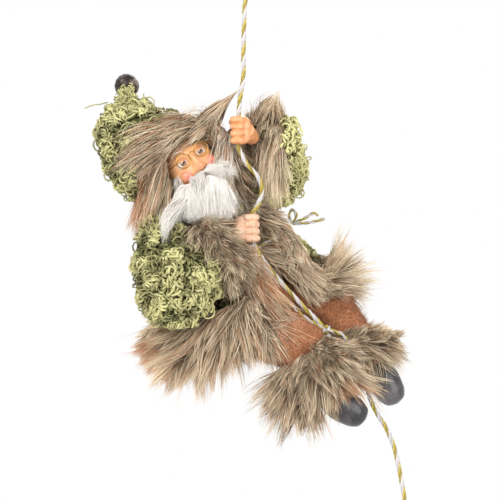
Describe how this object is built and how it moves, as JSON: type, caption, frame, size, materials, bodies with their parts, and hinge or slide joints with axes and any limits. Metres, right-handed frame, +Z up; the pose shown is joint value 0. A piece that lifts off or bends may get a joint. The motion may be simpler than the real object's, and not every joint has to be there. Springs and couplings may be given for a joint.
{
  "type": "santa figurine",
  "caption": "Bearded gift bringer doll in a hooded fur-trimmed coat and boots, climbing a twisted cord, with a hanging loop, bell and posable head, arms and legs",
  "frame": {"origin": "inside top of the cord's hanging loop, where a hook bears", "axes": "+Z up along the hanging cord, +X to the right of the view that shows the face, +Y away from that view"},
  "size_m": [0.2196, 0.1552, 0.4138],
  "materials": {
    "boucle": "loose curly olive yarn",
    "pile": "long brown and beige fur pile",
    "white_fibre": "long straight white fibre",
    "felt": "short rust felt",
    "lining": "rust lining cloth",
    "resin_skin": "painted resin",
    "dark_resin": "painted resin, mottled and glossy",
    "cord": "twisted white yarn and gold thread",
    "gold_wire": "bright wire",
    "bronze": "dark bronze",
    "steel_wire": "bare wire",
    "stuffing": "packed fibre"
  },
  "bodies": {
    "trunk": {"climbing_cord": "cord", "hanging_loop": "cord", "loop_knot": "cord", "end_knot": "cord", "tie_strand": "cord", "tie_knot": "cord", "tie_tail": "cord", "waist_cord": "cord", "waist_knot": "cord", "waist_bow": "cord", "torso": "stuffing", "spine_wire": "steel_wire", "coat": "boucle", "coat_lining": "lining", "right_hem_trim": "pile", "left_hem_trim": "pile", "right_front_trim": "pile", "left_front_trim": "pile", "trouser_seat": "felt"},
    "head_and_hood": {"head": "resin_skin", "spectacles": "gold_wire", "moustache": "white_fibre", "beard": "white_fibre", "hood": "boucle", "hood_filling": "stuffing", "hood_trim": "pile", "bell_ring": "cord"},
    "bell": {"bell_shell": "bronze", "bell_pellet": "steel_wire"},
    "right_arm": {"right_sleeve": "boucle", "right_arm_wire": "steel_wire", "right_hand": "resin_skin", "right_sleeve_cuff": "pile"},
    "right_upper_leg": {"right_thigh": "felt", "right_thigh_wire": "steel_wire"},
    "right_lower_leg": {"right_shin": "felt", "right_shin_wire": "steel_wire", "right_boot_cuff": "pile", "right_boot": "dark_resin"},
    "left_arm": {"left_sleeve": "boucle", "left_arm_wire": "steel_wire", "left_hand": "resin_skin", "left_sleeve_cuff": "pile"},
    "left_upper_leg": {"left_thigh": "felt", "left_thigh_wire": "steel_wire"},
    "left_lower_leg": {"left_shin": "felt", "left_shin_wire": "steel_wire", "left_boot_cuff": "pile", "left_boot": "dark_resin"}
  },
  "joints": [
    {"name": "head_turn", "type": "hinge", "parent": "trunk", "child": "head_and_hood", "pos_m": [-0.03536, 0.032, -0.1841], "axis": [-0.1432, -0.6168, 0.774], "range_deg": [-15, 15]},
    {"name": "bell_wobble", "type": "hinge", "parent": "head_and_hood", "child": "bell", "pos_m": [-0.08421, 0.013, -0.11197], "axis": [0, 1, 0], "range_deg": [-25, 25]},
    {"name": "right_shoulder", "type": "hinge", "parent": "trunk", "child": "right_arm", "pos_m": [-0.05276, 0.00654, -0.20941], "axis": [0.1339, 0, -0.991], "range_deg": [0, 25]},
    {"name": "left_shoulder", "type": "hinge", "parent": "trunk", "child": "left_arm", "pos_m": [-0.00744, 0.06028, -0.18054], "axis": [0, 0.6232, 0.7821], "range_deg": [0, 30]},
    {"name": "right_hip", "type": "hinge", "parent": "trunk", "child": "right_upper_leg", "pos_m": [0.00728, 0.01857, -0.27076], "axis": [-0.666, 0, -0.746], "range_deg": [0, 20]},
    {"name": "left_hip", "type": "hinge", "parent": "trunk", "child": "left_upper_leg", "pos_m": [0.02779, 0.03978, -0.25295], "axis": [0.6661, 0, 0.7459], "range_deg": [0, 20]},
    {"name": "right_knee", "type": "hinge", "parent": "right_upper_leg", "child": "right_lower_leg", "pos_m": [0.031, -0.0145, -0.282], "axis": [0, 1, 0], "range_deg": [0, 35]},
    {"name": "left_knee", "type": "hinge", "parent": "left_upper_leg", "child": "left_lower_leg", "pos_m": [0.062, 0.03, -0.2585], "axis": [0, 1, 0], "range_deg": [0, 35]}
  ]
}
